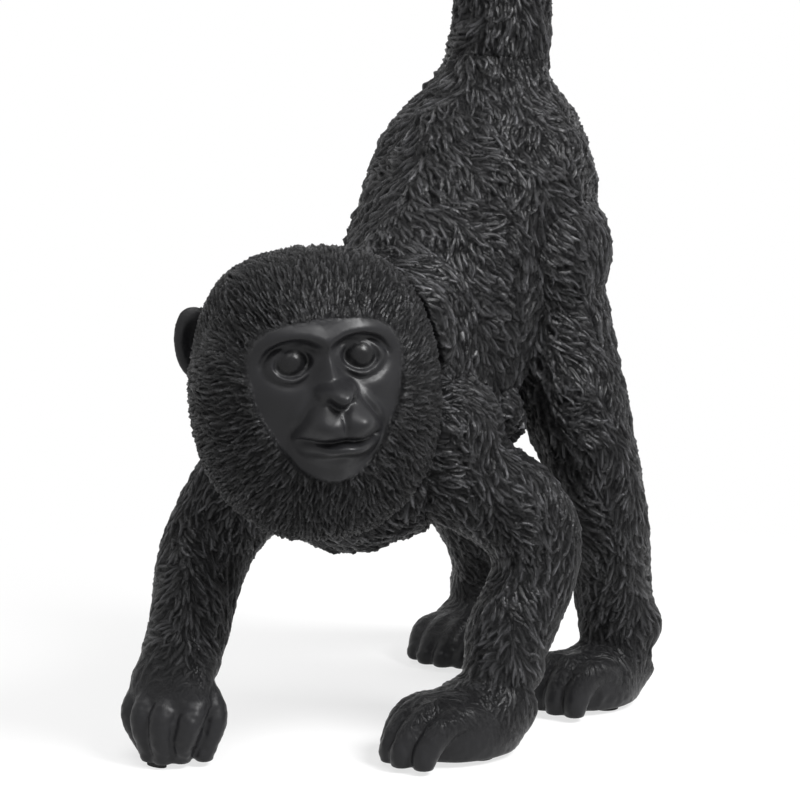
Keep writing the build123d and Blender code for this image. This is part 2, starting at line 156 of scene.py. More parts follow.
# %% Flesh under the skin
# Centre, half sizes and heading, in millimetres
FLESH = [
    ((30.0, -17.6, 6.5), (17.6, 11.4, 8.5), (-0.28, -1.0)),
    ((27.6, -23.5, 8.2), (12.0, 11.2, 7.0), (-0.28, -1.0)),
    ((-19.2, -70.1, 11.0), (4.5, 4.5, 9.0), (0.10, -1.0)),
    ((27.2, 42.6, 6.5), (16.4, 11.2, 8.5), (-0.20, -1.0)),
    ((-33.1, 61.7, 6.5), (18.0, 12.2, 8.5), (0.10, -1.0)),
    ((21.5, -27.5, 114.0), (8.0, 8.0, 9.5), (-0.28, -1.0)),
    ((20.0, 5.0, 86.0), (8.0, 8.0, 8.0), (0.0, -1.0)),
]
SOLE = 1.3 * MM
solid = joined(BODY)
bm = bmesh.new()
bm.from_mesh(solid)
for centre, halves, heading in FLESH:
    ball = bmesh.ops.create_icosphere(bm, subdivisions=4, radius=MM)["verts"]
    turn = Matrix.Rotation(math.atan2(heading[1], heading[0]), 4, "Z")
    stretched = turn @ Matrix.Diagonal((*halves, 1))
    bmesh.ops.transform(bm, matrix=Matrix.Translation(Vector(centre) * MM) @ stretched, verts=ball)
    for point in ball:
        point.co.z = max(point.co.z, SOLE)
bm.to_mesh(solid)
bm.free()
body_skin = remeshed(solid, BODY_VOXEL, 6)
print("body skin", len(body_skin.vertices))

# %% [markdown]
# Each point of the skin belongs to the casting that lies nearest. The joints are then smoothed more than
# the rest, so that a limb grows out of the body without a crease.

# %% Castings under the skin
trees = {node: BVHTree.FromBMesh(merged_copy(node)) for node in BODY + ["head"]}


def distances(node, table):
    find = trees[node].find_nearest
    return np.array([find(point)[3] for point in table.tolist()])


spans = np.stack([distances(node, places(body_skin)) for node in BODY])
owner = spans.argmin(0)
second = np.sort(spans, 0)[1]
head_gap = distances("head", places(body_skin))
print("points of each casting", np.bincount(owner))

# %% Smooth joints
def eased(mesh, weights, rounds):
    """The mesh smoothed where the weights are high."""
    holder = held(mesh)
    group = holder.vertex_groups.new(name="ease")
    steps = np.round(np.clip(weights, 0, 1) * 10).astype(int)
    for step in range(1, 11):
        group.add(np.flatnonzero(steps == step).tolist(), step / 10, "REPLACE")
    ease = holder.modifiers.new("ease", "SMOOTH")
    ease.factor = 0.5
    ease.iterations = rounds
    ease.vertex_group = "ease"
    return applied(holder)


near_joint = np.exp(-(((second - spans.min(0)) / (5 * MM)) ** 2))
height = places(body_skin)[:, 2] / MM
wrists = np.where(owner == BODY.index("right_arm"), (height - 31) / 8, (height - 21) / 7)
near_joint = np.maximum(near_joint, np.exp(-(wrists**2)))
body_skin = eased(body_skin, near_joint, 60)
print("points eased at the joints", int((near_joint > 0.5).sum()))

# %% [markdown]
# Clay is pushed about once the rough figure stands. Here the skin is nudged a few millimetres in ten
# places, each with a soft edge. The left hand and the left toes are pulled up taller, and the right fist
# is squeezed slimmer.

# %% Nudges
# Centre, reach and shift, in millimetres: flank, rump, the shins and forearm, thigh, heel, ankle and tail
NUDGES = [
    ((-11.0, -16.0, 134.0), (16.0, 16.0, 18.0), (3.0, 2.5, 0.0)),
    ((22.0, 46.0, 158.0), (14.0, 14.0, 16.0), (-1.1, -0.9, 0.0)),
    ((-30.0, 58.0, 38.0), (24.0, 24.0, 20.0), (3.4, 2.9, 0.0)),
    ((-27.0, -60.0, 52.0), (20.0, 20.0, 26.0), (-1.0, -0.8, 0.0)),
    ((33.0, 42.0, 48.0), (20.0, 20.0, 22.0), (0.8, 0.6, 0.0)),
    ((-15.0, -53.0, 50.0), (11.0, 15.0, 26.0), (-1.3, -1.1, 0.0)),
    ((43.0, 39.0, 82.0), (10.0, 12.0, 30.0), (-1.2, -1.0, 0.0)),
    ((41.0, 52.0, 9.0), (9.0, 9.0, 8.0), (-2.3, -1.9, 0.0)),
    ((40.0, 50.0, 22.0), (10.0, 10.0, 7.0), (1.5, 1.2, 0.0)),
    ((0.0, 34.0, 186.0), (18.0, 18.0, 20.0), (0.9, 0.8, 0.0)),
]
HAND_LIFT, TOE_LIFT, FIST_SQUEEZE = 3.0, 4.0, 0.10
FIST_MIDDLE, FIST_ACROSS = -63.7, np.array((0.766, 0.643, 0.0))
before = places(body_skin) / MM
spots = before
for centre, reach, shift in NUDGES:
    share = np.exp(-(((spots - centre) / reach) ** 2).sum(1))
    spots = spots + share[:, None] * np.array(shift)
above = spots[:, 2].copy()
rise = np.clip((above - 1.5) / 5, 0, 1) * np.exp(-((np.clip(above - 14, 0, None) / 8) ** 2))
hand = owner == BODY.index("left_arm")
toes = (owner == BODY.index("left_leg")) * np.clip((45 - spots[:, 1]) / 15, 0, 1)
spots[:, 2] += (HAND_LIFT * hand + TOE_LIFT * toes) * rise
fist = (owner == BODY.index("right_arm")) * np.clip((13 - above) / 8, 0, 1)
spots -= (FIST_SQUEEZE * fist * (spots @ FIST_ACROSS - FIST_MIDDLE))[:, None] * FIST_ACROSS
spots[:, 1] += 0.08 * hand * np.clip(-25 - spots[:, 1], 0, None) * np.clip((24 - above) / 10, 0, 1)
put(body_skin, spots * MM)
moved = np.abs(spots - before).max(1) > 0.5
print("points nudged by half a millimetre", int(moved.sum()), "of", len(spots))

# %% [markdown]
# The face is smooth between the fur: arched brows over deep eyes with thick lids, a flat bridge, a broad
# nose with slanted nostrils, two full upper-lip pads and a level mouth. It is nearly a relief, so the
# head's points inside the face's outline get their height from a sum of soft forms, in the head's own
# axes. Then the head is remeshed again, which spreads the points evenly over the steep sides of the
# muzzle.

# %% Head's own axes
HEAD = Vector((10.659, -54.867, 103.0)) * MM
TURN, NOD, ROLL = math.radians(51), math.radians(2), math.radians(5)
facing = Vector((math.sin(TURN) * math.cos(NOD), -math.cos(TURN) * math.cos(NOD), -math.sin(NOD)))
level = Vector((math.cos(TURN), math.sin(TURN), 0))
head_left = level * math.cos(ROLL) + facing.cross(level) * math.sin(ROLL)
head_axes = np.array([head_left, facing.cross(head_left), facing])


def to_head(table):
    return (table - np.array(HEAD)) @ head_axes.T / MM


def from_head(table):
    return table * MM @ head_axes + np.array(HEAD)


# The bare face's outline: heights and half widths, in millimetres
FACE_HEIGHTS = [-21.9, -20.8, -17.8, -12.0, -6.0, 0.0, 6.0, 10.0, 13.5, 16.0, 17.6, 18.4]
FACE_HALVES = [0.0, 5.2, 9.2, 13.0, 16.2, 18.2, 19.0, 18.6, 16.8, 13.4, 8.4, 0.0]


def face_edge(x, y):
    """How far a point is outside the bare face's outline, about, in millimetres."""
    half = np.interp(y, FACE_HEIGHTS, FACE_HALVES)
    return np.maximum(np.abs(x) - half, np.maximum(y - FACE_HEIGHTS[-1], FACE_HEIGHTS[0] - y))


print("head's axes", head_axes.round(3).tolist())

# %% Relief of the face
def bump(x, y, centre, halves, turn=0.0):
    """A soft hill of height one, with its half width at the given halves."""
    c, s = math.cos(turn), math.sin(turn)
    a, b = x - centre[0], y - centre[1]
    return np.exp(-(((a * c + b * s) / halves[0]) ** 2) - ((b * c - a * s) / halves[1]) ** 2)


def dome(x, y, centre, halves, power=0.5):
    rest = 1 - ((x - centre[0]) / halves[0]) ** 2 - ((y - centre[1]) / halves[1]) ** 2
    return np.clip(rest, 0, 1) ** power


def soft_max(a, b, blend):
    share = np.clip(0.5 + 0.5 * (a - b) / blend, 0, 1)
    return b + (a - b) * share + blend * share * (1 - share)


EYE_SPREAD, EYE_HEIGHT, EYE_RADIUS = 8.3, 8.0, 4.1
EYE_HALF_WIDTH, EYE_HALF_HEIGHT = 4.2, 3.2
EYE_SLANT, LID_SHAPE = 0.10, 1.75
MUZZLE_LEFT = 0.9


def eye_ring(x, y):
    """One on the edge of the lids, which meet in a corner on each side, and less on the eyeball."""
    across = (np.abs(x) - EYE_SPREAD) / EYE_HALF_WIDTH
    along = (y - EYE_HEIGHT + EYE_SLANT * (np.abs(x) - EYE_SPREAD)) / EYE_HALF_HEIGHT
    return (np.abs(across) ** LID_SHAPE + np.abs(along) ** LID_SHAPE) ** (1 / LID_SHAPE), along


def face_base(x, y):
    return 25.5 * np.sqrt(np.clip(1 - (x / 30.4) ** 2, 0.05, 1)) * (1 - ((y - 3) / 72) ** 2)


def face_relief(x, y):
    side = np.abs(x)
    # Brows, sockets and the bridge between them
    arch = 14.6 - 0.030 * (side - 7.5) ** 2
    z = face_base(x, y) + 2.2 * np.exp(-(((y - arch) / 2.3) ** 2)) * np.exp(-((side / 15.5) ** 6))
    z = z - 1.7 * np.exp(-(((y - arch + 2.6) / 1.0) ** 2)) * np.exp(-(((side - 7.8) / 5.4) ** 4))
    z = z - 4.2 * bump(side, y, (EYE_SPREAD - 0.3, EYE_HEIGHT + 0.5), (6.0, 4.5))
    z = z - 1.5 * bump(side, y, (4.7, 8.8), (1.9, 3.4))
    z = z + 0.8 * bump(side, y, (12.0, 0.6), (4.5, 3.2))
    z = z + 2.8 * np.exp(-((x / (2.6 + 0.13 * np.clip(9 - y, 0, 12))) ** 2)) / (1 + np.exp((y - 10.0) * 0.8))
    # Muzzle with two lip pads, and the nose above them; it leans to the head's left
    x = x - MUZZLE_LEFT
    side = np.abs(x)
    z = soft_max(z, 11.2 + 22.0 * dome(x, y, (0, -7.6), (13.0, 12.4), 0.5), 4.4)
    z = z + 2.9 * bump(side, y, (5.5, -6.3), (4.5, 3.1))
    nose = 19.0 + 16.2 * dome(x, y, (0, 0.0), (5.5 + 0.30 * y, np.where(y > 0, 4.2, 3.7)), 0.5)
    z = soft_max(z, nose, 2.6)
    z = z + 1.0 * bump(side, y, (4.2, 0.1), (0.9, 1.5), -0.5)
    z = z - 2.6 * bump(side, y, (2.6, -0.8), (0.75, 2.0), -0.66)
    z = z - 0.8 * np.exp(-((x / 0.7) ** 2)) / (1 + np.exp((y + 3.4) * 3)) / (1 + np.exp((-8.8 - y) * 3))
    fold = 5.8 + 0.62 * np.clip(-y - 0.5, 0, 9)
    z = z - 2.8 * np.exp(-(((side - fold) / 1.1) ** 2)) * np.exp(-(((y + 5.2) / 4.4) ** 2))
    # Mouth, lower lip and chin
    lips = -11.1 - 0.05 * x + 0.004 * x**2 + 0.7 * np.exp(-((x / 3.0) ** 2))
    reach = 1 / (1 + np.exp((side - 9.4) * 2.4))
    z = z - 2.6 * reach * np.exp(-(((y - lips) / 0.70) ** 2))
    z = z - 1.4 * bump(side, y, (9.0, -11.2), (1.7, 1.0))
    z = z + 2.4 * np.exp(-(((y - lips + 2.3) / 1.45) ** 2)) * np.exp(-((side / 7.4) ** 4))
    z = z - 0.9 * np.exp(-(((y - lips + 4.7) / 1.0) ** 2)) * np.exp(-((side / 6.0) ** 4))
    z = z + 0.9 * bump(x, y, (0, -18.0), (5.5, 2.8))
    # Eyeballs with an engraved iris, inside thick lids
    side = np.abs(x + MUZZLE_LEFT)
    ring, along = eye_ring(side, y)
    off = np.hypot(side - EYE_SPREAD, y - EYE_HEIGHT)
    ball = 24.4 - EYE_RADIUS + np.sqrt(np.clip(EYE_RADIUS**2 - off**2, 0, None))
    ball = ball - 0.12 * np.exp(-(((off - 2.5) / 0.40) ** 2)) - 0.20 * np.exp(-((off / 1.1) ** 4))
    crease = np.exp(-(((ring - 1.70) / 0.18) ** 2)) * np.where(along > 0, 0.9, 0.35)
    crease = crease / (1 + np.exp((5.0 - side) * 2))
    lid = z + 1.9 * np.exp(-(((ring - 1.20) / np.where(along > 0, 0.30, 0.24)) ** 2)) - crease
    return np.where(ring < 1.0, np.maximum(ball, z - 1.0), lid)


print("relief at the nose tip", face_relief(np.array([0.0]), np.array([-0.8])))

# %% Face on the head's skin
head_mesh = remeshed(joined(["head"]), HEAD_VOXEL, 4)
local = to_head(places(head_mesh))
slim = np.where(local[:, 0] > 0, 0.03, 0.12) * np.exp(-(((local[:, 1] - 16) / 9) ** 2))
local[:, 0] *= 1 - slim * np.clip((local[:, 2] + np.where(local[:, 0] > 0, 0, 10)) / 10, 0, 1)
edge = face_edge(local[:, 0], local[:, 1])
front = local[:, 2] > 8
hollow = (local[:, 0] / 19) ** 2 + (local[:, 1] / 20) ** 2 < 1.02
local[:, 2] += np.where(front & hollow & (edge > 0), 2.0, 0)
put(head_mesh, from_head(local))
rim = front & (edge > -2) & ((local[:, 0] / 19) ** 2 + (local[:, 1] / 20) ** 2 < 1.5)
head_mesh = eased(head_mesh, rim * 1.0, 40)
local = to_head(places(head_mesh))
share = np.clip(0.5 - edge / 1.2, 0, 1) * front
relief = face_relief(local[:, 0], local[:, 1])
proud = np.clip(relief - face_base(local[:, 0], local[:, 1]), 0, None)
local[:, 2] += (relief - local[:, 2]) * share
local[:, 0] += 0.11 * proud * share
ear = (local[:, 0] < -25) & (np.abs(local[:, 1] - 8) < 10) & (np.abs(local[:, 2] + 15) < 3.4)
outward = np.clip((-local[:, 0] - 25) / 7, 0, 1) * ear
local[:, 0] += 0.2 * outward
local[:, 1] += (local[:, 1] - 8) * 0.2 * outward
put(head_mesh, from_head(local))
head_mesh = remeshed(head_mesh, FACE_VOXEL, 3)
print("head skin", len(head_mesh.vertices))

# %% [markdown]
# Sculpted fur isn't hair. It is overlapping tufts that were pressed into clay, each one rising towards
# its tip. Real strands would be far too fine, and a noise pattern has no lie. So tufts are scattered over
# the skin, each turned along the lie of the fur, and every point of the skin takes the height of the
# highest tuft that covers it.

# %% Lie of the fur on the body
JOINT_SHIFT = np.array((0.159, -35.367, 0.0))
body_places = places(body_skin)
body_normals = normals(body_skin)
millimetres = body_places / MM - JOINT_SHIFT
x, y, z = millimetres.T
lie = np.zeros_like(body_places)
torso, tail, left_arm, right_arm, left_leg, right_leg = (owner == index for index in range(6))
lie[torso] = np.stack([1.1 * np.tanh(x / 9), 0 * x, 0 * x - 1], 1)[torso]
arms, legs = left_arm | right_arm, left_leg | right_leg
lie[arms] = np.stack([0.15 * np.sign(x), 0.25 + 0.9 * np.clip((z - 60) / 25, 0, 1), 0 * x - 1], 1)[arms]
lie[legs] = np.stack([0.10 * np.sign(x), 0.30 + 0 * x, 0 * x - 1], 1)[legs]
# The tail is straight up to its curl, and there the fur goes round the curl's middle
CURL_BACK, CURL_HEIGHT = 96.0, 228.0
straight = np.stack([0.5 * np.tanh(x / 6), 0.15 + 0 * x, 0 * x - 1], 1)
curl = np.stack([0 * x, -(z - CURL_HEIGHT), y - CURL_BACK], 1)
lie[tail] = np.where((z > CURL_HEIGHT)[:, None], curl, straight)[tail]
print("lie", lie[:3].round(2).tolist())

# %% Tufts
dice = np.random.default_rng(7)


def tangents(table, lie, normal, wobble, sway):
    """The lie laid flat on the skin, swaying from place to place and turned by a small random angle."""
    flat = lie - normal * (lie * normal).sum(1, keepdims=True)
    flat /= np.linalg.norm(flat, axis=1, keepdims=True) + 1e-9
    angle = dice.normal(0, wobble, len(flat))
    for wave in dice.normal(0, 1, (5, 3)) * 0.28 / MM:
        angle = angle + sway * np.sin(table @ wave + dice.uniform(0, 6))
    angle = angle[:, None]
    return flat * np.cos(angle) + np.cross(normal, flat) * np.sin(angle)


def scatter(table, gap):
    """One random point from each cell of a grid."""
    order = dice.permutation(len(table))
    cells = np.floor(table[order] / gap + dice.random(3)).astype(np.int64)
    _, first = np.unique(cells @ np.array([73856093, 19349663, 83492791]), return_index=True)
    return order[first]


def tufted(table, normal, lie, gap, length, width, wobble, sway, bend, nearest):
    """Height, place across and along the tuft, and the tuft's number, for each point of a skin."""
    roots = scatter(table, gap)
    count = len(roots)
    heading = tangents(table[roots], lie[roots], normal[roots], wobble, sway)
    beside = np.cross(normal[roots], heading)
    lengths = length * dice.uniform(0.7, 1.3, count)
    widths = width * dice.uniform(0.75, 1.25, count)
    heights = dice.uniform(0.45, 1.0, count)
    bends = dice.normal(0, bend, count)
    waves = dice.normal(0, bend, count)
    tree = KDTree(count)
    for number, place in enumerate(table[roots].tolist()):
        tree.insert(place, number)
    tree.balance()
    near = np.array([[found[1] for found in tree.find_n(place, nearest)] for place in table.tolist()])
    best = np.zeros(len(table))
    mark = np.zeros((len(table), 3))
    for column in near.T:
        offset = table - table[roots[column]]
        along = (offset * heading[column]).sum(1) / lengths[column] + 0.5
        middle = along - 0.5
        curve = (bends[column] * middle**2 + 1.5 * waves[column] * middle**3) * length
        across = (offset * beside[column]).sum(1) - curve
        across = across / (widths[column] * (1.12 - 0.75 * np.clip(along, 0, 1) ** 1.5))
        facing_same = (normal * normal[roots[column]]).sum(1) > 0.2
        rise = np.clip(along * 1.15 + 0.18, 0, 1) * np.clip((1.05 - along) / 0.30, 0, 1) * (along > -0.15)
        height = heights[column] * rise * np.clip(1 - np.abs(across) ** 1.6, 0, 1) * facing_same
        better = height > best
        best = np.where(better, height, best)
        mark[better] = np.stack([across, along, column * 0.37 % 50], 1)[better]
    return best, mark


TUFTS = dict(gap=2.0 * MM, length=8.0 * MM, width=1.02 * MM, wobble=0.20, sway=0.30, bend=0.7, nearest=15)
CLUMPS = dict(gap=6.0 * MM, length=13 * MM, width=3.6 * MM, wobble=0.5, sway=0.2, bend=0.6, nearest=8)
body_height, body_mark = tufted(body_places, body_normals, lie, **TUFTS)
clumps, _ = tufted(body_places, body_normals, lie, **CLUMPS)
print("mean tuft height", body_height.mean())

# %% [markdown]
# The fur fades out over the backs of the hands and feet and on the flat soles, and it stays out of the
# hollow that the ruff fills. The head's tufts are finer and start at the edge of the face, which they
# overhang a little.

# %% Fur on the body
paws = np.clip((z - 7) / 14, 0, 1)
paws = np.where(right_arm, np.clip((z - 16) / 14, 0, 1), paws)
heels = left_arm * np.clip((y - 10) / 10, 0, 1) + left_leg * np.clip((y - 69) / 8, 0, 1)
paws = np.maximum(paws, 0.8 * heels * np.clip((z - 3.5) / 7, 0, 1))
amount = paws * np.clip(head_gap / MM / 1.0, 0, 1)
limbs = arms | legs
thick = np.where(limbs, 0.7 + 0.5 * np.clip((z - 30) / 50, 0, 1), 1.45)
shaggy = np.where(limbs, 0.3 + 0.9 * np.clip((z - 30) / 60, 0, 1), 1.3)
lift = ((body_height - 0.40) * thick + (clumps - 0.45) * shaggy) * amount
belly = torso * np.clip(-body_normals[:, 2], 0, 1) * np.clip(1.2 - np.abs(y - 26) / 40, 0, 1)
lift = lift + 2.2 * np.clip(belly * 1.6, 0, 1) * amount
lift = lift + 2.4 * np.exp(-((head_gap / MM / 7) ** 2)) * amount * torso
# Fine wrinkles on the bare backs of the hands and feet
WRINKLE_GAP, WRINKLE_DEPTH = 1.5 * MM, 0.20
backs = np.flatnonzero((amount < 0.7) & (z > 2) & limbs)
wrinkles = np.array([noise.noise(Vector(place) / WRINKLE_GAP) for place in body_places[backs].tolist()])
lift[backs] += WRINKLE_DEPTH * wrinkles * (1 - amount[backs])
put(body_skin, body_places + body_normals * (lift * MM)[:, None])
print("points with wrinkles", len(backs))

# %% Fur on the head
head_places = places(head_mesh)
head_normals = normals(head_mesh)
local = to_head(head_places)
edge = face_edge(local[:, 0], local[:, 1])
front = local[:, 2] > 8
aside = np.abs(local[:, 0])
ear = ((aside - 27) / 10.5) ** 2 + ((local[:, 1] - 8) / 11.8) ** 2 + ((local[:, 2] + 15) / 4) ** 2 < 1
ear = ear & (aside > 25)
bare = np.clip(0.6 - edge / 2.0, 0, 1) * front
head_amount = (1 - bare) * np.where(ear, 0.1, 1)
rays = np.stack([local[:, 0], local[:, 1] + 1.0, 0 * edge - 9.0], 1) @ head_axes
FINE_TUFTS = dict(gap=1.4 * MM, length=6.4 * MM, width=0.66 * MM)
FINE_TUFTS.update(wobble=0.13, sway=0.08, bend=0.35, nearest=18)
head_height, head_mark = tufted(head_places, head_normals, rays, **FINE_TUFTS)
ledge = 0.3 * np.exp(-((np.clip(edge, 0, None) / 3.0) ** 2)) * front * (local[:, 1] < 12)
deep = 0.85 + 0.75 * np.clip(edge / 12, 0, 1)
lift = ((head_height - 0.4) * deep + ledge) * head_amount
put(head_mesh, head_places + head_normals * (lift * MM)[:, None])
print("head tufts", head_height.mean())

# %% [markdown]
# The painter needs to know where the tips, the bare skin and the eyes are, so each point carries those
# marks.

# %% Marks for the finish
def mark_skin(mesh, height, marks, fur, eye):
    for name, kind, values in (
        ("ridge", "FLOAT", height),
        ("fur", "FLOAT", fur),
        ("eye", "FLOAT", eye),
        ("hair", "FLOAT_VECTOR", marks),
    ):
        layer = mesh.attributes.new(name, kind, "POINT")
        field = "vector" if kind == "FLOAT_VECTOR" else "value"
        layer.data.foreach_set(field, np.ascontiguousarray(values, dtype=np.float32).ravel())


eyes = np.clip((0.95 - eye_ring(local[:, 0], local[:, 1])[0]) / 0.08, 0, 1) * front
mark_skin(head_mesh, head_height * head_amount * 0.84, head_mark, head_amount, eyes)
mark_skin(body_skin, body_height * amount, body_mark, amount, 0 * amount)
print("points on the eyes", int((eyes > 0.5).sum()))

# %% [markdown]
# The skin is cut along the joints again, so that each casting is a closed piece that stands in for its
# own solid.

# %% Castings as pieces
MOST_TRIANGLES = 196000


def thinned(mesh):
    """The mesh with the triangles that its shape can spare taken out, if it has too many."""
    count = sum(len(face.vertices) - 2 for face in mesh.polygons)
    if count <= MOST_TRIANGLES:
        return mesh
    holder = held(mesh)
    spare = holder.modifiers.new("spare", "DECIMATE")
    spare.ratio = MOST_TRIANGLES / count
    return applied(holder)


def piece(name, mesh):
    mesh = thinned(mesh)
    mesh.shade_smooth()
    thing = bpy.data.objects.new(name + "_skin", mesh)
    scene.collection.objects.link(thing)
    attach(thing, "root")
    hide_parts(name)
    return thing


def cut_out(mesh, keep):
    """The closed part of the skin whose faces are kept."""
    bm = bmesh.new()
    bm.from_mesh(mesh)
    bm.faces.ensure_lookup_table()
    bmesh.ops.delete(bm, geom=[bm.faces[number] for number in np.flatnonzero(~keep)], context="FACES")
    rim = [line for line in bm.edges if line.is_boundary]
    made = bmesh.ops.holes_fill(bm, edges=rim, sides=0)
    bmesh.ops.triangulate(bm, faces=made["faces"])
    result = bpy.data.meshes.new("casting")
    bm.to_mesh(result)
    bm.free()
    return result


corner = np.empty(len(body_skin.loops), dtype=np.int64)
body_skin.loops.foreach_get("vertex_index", corner)
start = np.empty(len(body_skin.polygons), dtype=np.int64)
body_skin.polygons.foreach_get("loop_start", start)
face_owner = owner[corner[start]]
castings = {node: piece(node, cut_out(body_skin, face_owner == index)) for index, node in enumerate(BODY)}
castings["head"] = piece("head", head_mesh)
for node, thing in castings.items():
    print(node, sum(len(face.vertices) - 2 for face in thing.data.polygons), "triangles")

# %% [markdown]
# Finishes are built from a few small nodes. These helpers make them, so that each finish reads as a
# recipe.

# %% Helpers for finishes
def material(name):
    made = bpy.data.materials.new(name)
    made.use_nodes = True
    return made, made.node_tree.nodes, made.node_tree.links, made.node_tree.nodes["Principled BSDF"]


def attribute(nodes, name):
    node = nodes.new("ShaderNodeAttribute")
    node.attribute_name = name
    return node


def ramp(nodes, links, source, low, high, to_low, to_high):
    node = nodes.new("ShaderNodeMapRange")
    for socket, value in zip(("From Min", "From Max", "To Min", "To Max"), (low, high, to_low, to_high)):
        node.inputs[socket].default_value = value
    links.new(source, node.inputs["Value"])
    return node.outputs["Result"]


def times(nodes, links, first, second):
    node = nodes.new("ShaderNodeMath")
    node.operation = "MULTIPLY"
    links.new(first, node.inputs[0])
    links.new(second, node.inputs[1])
    return node.outputs[0]


print("materials before the finishes", len(bpy.data.materials))

# %% [markdown]
# No cast, cloth or drawn surface is even. All the finishes share one fine grain, as a node group, each at
# its own scale and between its own tones.

# %% Shared grain
speckle = bpy.data.node_groups.new("speckle", "ShaderNodeTree")
for name in ("Scale", "Low", "High"):
    speckle.interface.new_socket(name, in_out="INPUT", socket_type="NodeSocketFloat")
for name in ("Grain", "Toned"):
    speckle.interface.new_socket(name, in_out="OUTPUT", socket_type="NodeSocketFloat")
given = speckle.nodes.new("NodeGroupInput")
taken = speckle.nodes.new("NodeGroupOutput")
cloud = speckle.nodes.new("ShaderNodeTexNoise")
cloud.inputs["Detail"].default_value = 4.0
speckle.links.new(speckle.nodes.new("ShaderNodeTexCoord").outputs["Object"], cloud.inputs["Vector"])
speckle.links.new(given.outputs["Scale"], cloud.inputs["Scale"])
spread = speckle.nodes.new("ShaderNodeMapRange")
spread.inputs["From Min"].default_value = 0.3
spread.inputs["From Max"].default_value = 0.7
speckle.links.new(cloud.outputs["Fac"], spread.inputs["Value"])
speckle.links.new(given.outputs["Low"], spread.inputs["To Min"])
speckle.links.new(given.outputs["High"], spread.inputs["To Max"])
speckle.links.new(cloud.outputs["Fac"], taken.inputs["Grain"])
speckle.links.new(spread.outputs["Result"], taken.inputs["Toned"])


def speckled(nodes, scale, low, high):
    node = nodes.new("ShaderNodeGroup")
    node.node_tree = speckle
    for name, value in (("Scale", scale), ("Low", low), ("High", high)):
        node.inputs[name].default_value = value
    return node


print("nodes of the grain", len(speckle.nodes))

# %% [markdown]
# The finish is black paint with a satin sheen. Its colour is painted shade in the gaps between the tufts,
# where it is darkest, and greyer rubbed wear on the tips. The bare skin is a little lighter than the gaps
# in the fur and has a thin sheen of its own. Fine hair lines run along each tuft: they are too small for
# the skin's points, so they are a bump that follows the tuft's marks.

# %% Resin colour
# The gap colour is painted shade between the tufts; the tip colour is the greyer, rubbed wear of the tips.
GAP_SHADE_PAINT, TIP_PAINT = (0.005, 0.005, 0.0055, 1), (0.085, 0.085, 0.092, 1)
BARE_PAINT = (0.010, 0.010, 0.011, 1)
resin, nodes, links, shader = material("black resin")
ridge = attribute(nodes, "ridge").outputs["Fac"]
fur = attribute(nodes, "fur").outputs["Fac"]
eye = attribute(nodes, "eye").outputs["Fac"]
stretch = nodes.new("ShaderNodeMapping")
stretch.inputs["Scale"].default_value = (2.6, 0.55, 1.0)
links.new(attribute(nodes, "hair").outputs["Vector"], stretch.inputs["Vector"])
strands = nodes.new("ShaderNodeTexNoise")
strands.inputs["Scale"].default_value = 1.0
strands.inputs["Detail"].default_value = 2.0
links.new(stretch.outputs["Vector"], strands.inputs["Vector"])
grain = speckled(nodes, 900.0, 0.34, 0.48)
# Painted shade and wear: dark in the gaps between tufts, where shade falls, lighter on the raised tips, in
# streaks along the hair lines.
tip_wear_gap_shade = ramp(nodes, links, ridge, 0.45, 0.95, 0, 1)
streaks = ramp(nodes, links, strands.outputs["Fac"], 0.42, 0.68, 0.15, 1)
paint = nodes.new("ShaderNodeMix")
paint.data_type = "RGBA"
paint.inputs["A"].default_value = GAP_SHADE_PAINT
paint.inputs["B"].default_value = TIP_PAINT
links.new(times(nodes, links, tip_wear_gap_shade, streaks), paint.inputs["Factor"])
skin = nodes.new("ShaderNodeMix")
skin.data_type = "RGBA"
skin.inputs["B"].default_value = BARE_PAINT
hairless = ramp(nodes, links, fur, 0, 1, 1, 0)
not_eye = ramp(nodes, links, eye, 0, 1, 1, 0.1)
links.new(times(nodes, links, hairless, not_eye), skin.inputs["Factor"])
links.new(paint.outputs["Result"], skin.inputs["A"])
links.new(skin.outputs["Result"], shader.inputs["Base Color"])
print("nodes for the colour", len(nodes))

# %% Resin sheen and hair lines
rough = nodes.new("ShaderNodeMath")
rough.operation = "SUBTRACT"
links.new(grain.outputs["Toned"], rough.inputs[0])
links.new(ramp(nodes, links, eye, 0, 1, 0, 0.12), rough.inputs[1])
links.new(rough.outputs[0], shader.inputs["Roughness"])
sheen = nodes.new("ShaderNodeMath")
links.new(ramp(nodes, links, ridge, 0.25, 0.85, 0.05, 0.62), sheen.inputs[0])
links.new(ramp(nodes, links, fur, 0, 1, 0.12, 0), sheen.inputs[1])
sheen.use_clamp = True
links.new(sheen.outputs[0], shader.inputs["Coat Weight"])
shader.inputs["Coat Roughness"].default_value = 0.36
shader.inputs["Specular IOR Level"].default_value = 0.12
lines = times(nodes, links, strands.outputs["Fac"], fur)
fine = nodes.new("ShaderNodeBump")
fine.inputs["Strength"].default_value = 0.25
fine.inputs["Distance"].default_value = 0.12 * MM
links.new(grain.outputs["Grain"], fine.inputs["Height"])
hair = nodes.new("ShaderNodeBump")
hair.inputs["Strength"].default_value = 0.9
hair.inputs["Distance"].default_value = 0.6 * MM
links.new(lines, hair.inputs["Height"])
links.new(fine.outputs["Normal"], hair.inputs["Normal"])
links.new(hair.outputs["Normal"], shader.inputs["Normal"])
links.new(hair.outputs["Normal"], shader.inputs["Coat Normal"])
for thing in castings.values():
    thing.data.materials.clear()
    thing.data.materials.append(resin)
print("resin nodes", len(nodes))

# %% [markdown]
# The pads are thin black felt, a fuzzy cloth that is punched from a sheet.

